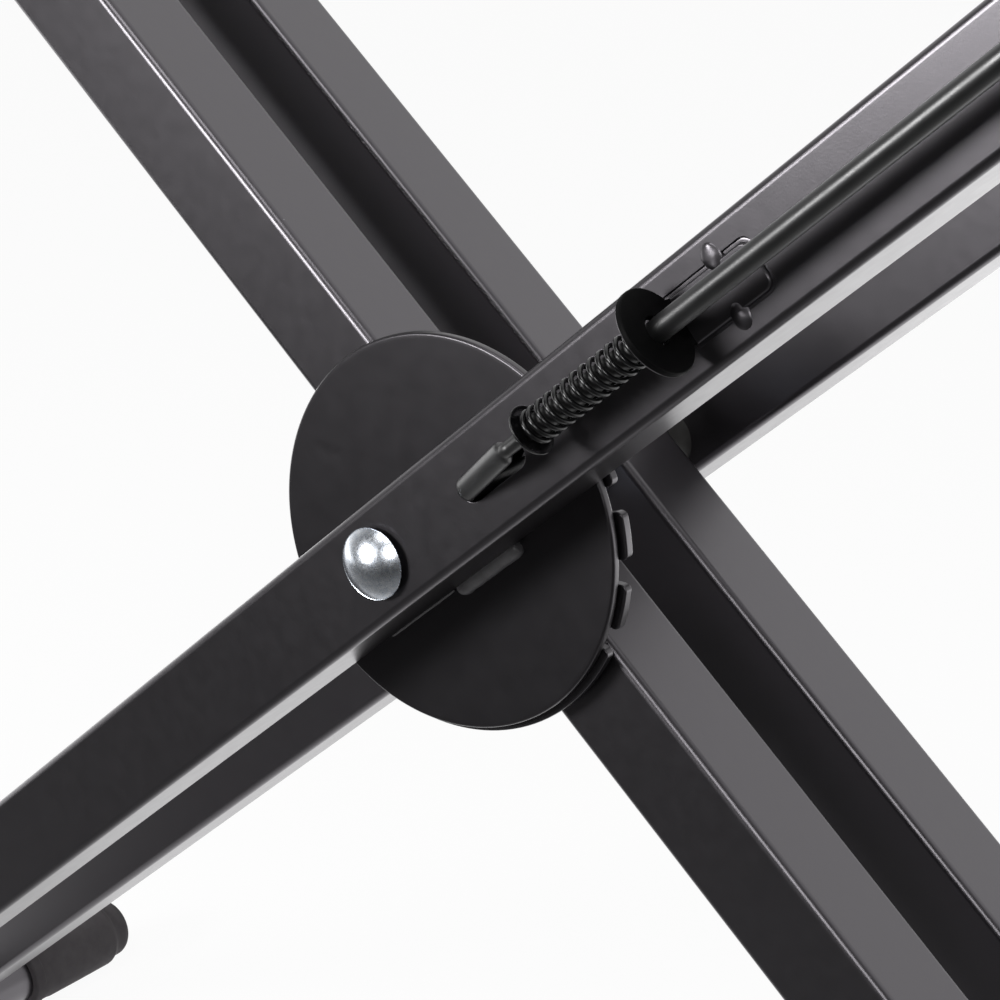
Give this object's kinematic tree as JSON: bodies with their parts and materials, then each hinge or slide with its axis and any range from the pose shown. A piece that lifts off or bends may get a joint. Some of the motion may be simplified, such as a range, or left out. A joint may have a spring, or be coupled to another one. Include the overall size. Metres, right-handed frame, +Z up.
{
  "type": "keyboard stand",
  "caption": "Folding crossed-leg keyboard stand with paired square-tube legs, round foot and arm bars, and a sprung pull rod locking into a notched hub plate.",
  "frame": {"origin": "on the floor, under the middle of the stand", "axes": "+X to the right seen from the lock side, +Y from the lock side to the back along the pivot, +Z up"},
  "size_m": [0.8332, 0.355, 0.7131],
  "materials": {
    "leg_paint": "satin black powder coat",
    "hub_paint": "fine-textured black powder coat",
    "rod_black": "semi-gloss black coating",
    "spring_black": "gloss black coated spring wire",
    "zinc_plate": "bright zinc plate",
    "bare_steel": "plain drawn steel",
    "rubber": "matt moulded rubber",
    "plug_plastic": "moulded plastic",
    "grip_plastic": "fine-grained moulded plastic",
    "nylon": "moulded nylon"
  },
  "bodies": {
    "outer_frame": {"outer_leg_front": "leg_paint", "outer_leg_rear": "leg_paint", "outer_foot_bar": "leg_paint", "outer_arm_bar": "leg_paint", "outer_foot_cap_front": "rubber", "outer_foot_cap_rear": "rubber", "outer_arm_sleeve_front": "rubber", "outer_arm_sleeve_rear": "rubber", "outer_leg_plugs": "plug_plastic", "cover_disc": "hub_paint", "cover_weld": "hub_paint", "lower_rod_guide": "hub_paint", "upper_rod_guide": "hub_paint", "front_leg_sleeve": "bare_steel", "rear_leg_sleeve": "bare_steel", "front_pivot_bolt": "zinc_plate", "rear_pivot_bolt": "zinc_plate", "front_pivot_nut": "zinc_plate", "rear_pivot_nut": "zinc_plate", "pivot_washers": "zinc_plate", "thrust_washer": "nylon", "rear_spacer": "nylon", "return_spring": "spring_black"},
    "inner_frame": {"inner_leg_front": "leg_paint", "inner_leg_rear": "leg_paint", "inner_foot_bar": "leg_paint", "inner_arm_bar": "leg_paint", "inner_foot_cap_front": "rubber", "inner_foot_cap_rear": "rubber", "inner_arm_sleeve_front": "rubber", "inner_arm_sleeve_rear": "rubber", "inner_leg_plugs": "plug_plastic", "index_plate": "hub_paint", "index_boss": "hub_paint", "index_welds": "hub_paint", "front_pivot_bush": "bare_steel", "rear_pivot_bush": "bare_steel"},
    "lock_rod": {"pull_rod": "rod_black", "spring_seat": "rod_black", "pull_grip": "grip_plastic", "grip_screw": "zinc_plate"}
  },
  "joints": [
    {"name": "leg_fold", "type": "hinge", "parent": "outer_frame", "child": "inner_frame", "pos_m": [0, 0, 0.36863], "axis": [0, 1, 0], "range_deg": [-61.2, 88]},
    {"name": "rod_pull", "type": "slide", "parent": "outer_frame", "child": "lock_rod", "axis": [0.7547, 0, 0.6561], "range_m": [0, 0.018], "stiffness_N_per_m": 2000, "springref_m": -0.005, "deforming": ["return_spring"]}
  ]
}
